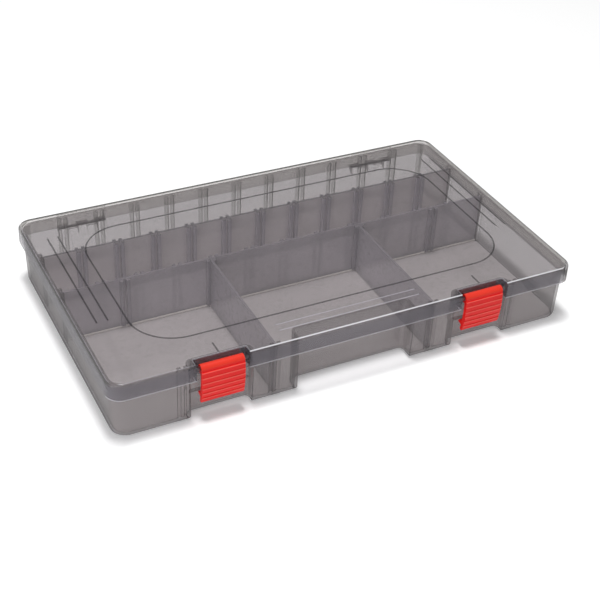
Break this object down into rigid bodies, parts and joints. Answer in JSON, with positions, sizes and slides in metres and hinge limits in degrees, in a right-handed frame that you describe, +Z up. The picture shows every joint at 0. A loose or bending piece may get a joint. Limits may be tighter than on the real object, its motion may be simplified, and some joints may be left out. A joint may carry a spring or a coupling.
{
  "type": "hinged tackle box",
  "caption": "Flat rectangular tackle box: a translucent tub with slide-in dividers under a hinged lid that snap latches hold shut.",
  "frame": {"origin": "on the surface that the box rests on, under the middle of the tub's plan", "axes": "+X to the right along the latch side, +Y from the latches towards the hinges, +Z up"},
  "size_m": [0.356, 0.219, 0.0463],
  "materials": {
    "smoke_plastic": "clear smoke-grey injection-moulded plastic, glossy",
    "red_plastic": "solid red injection-moulded plastic, semi-gloss",
    "pin_steel": "bright drawn wire"
  },
  "bodies": {
    "base": {"base_tub": "smoke_plastic", "hinge_pin_left": "pin_steel", "hinge_pin_right": "pin_steel", "long_divider_rear": "smoke_plastic", "long_divider_front": "smoke_plastic", "cross_divider_left": "smoke_plastic", "cross_divider_right": "smoke_plastic"},
    "lid": {"lid": "smoke_plastic"},
    "latch_left": {"latch_left": "red_plastic"},
    "latch_right": {"latch_right": "red_plastic"}
  },
  "joints": [
    {"name": "lid_hinge", "type": "hinge", "parent": "base", "child": "lid", "pos_m": [0, 0.1089, 0.0303], "axis": [-1, 0, 0], "range_deg": [0, 180]},
    {"name": "latch_left_hinge", "type": "hinge", "parent": "lid", "child": "latch_left", "pos_m": [-0.1005, -0.1031, 0.0404], "axis": [-1, 0, 0], "range_deg": [0, 110]},
    {"name": "latch_right_hinge", "type": "hinge", "parent": "lid", "child": "latch_right", "pos_m": [0.1005, -0.1031, 0.0404], "axis": [-1, 0, 0], "range_deg": [0, 110]}
  ]
}
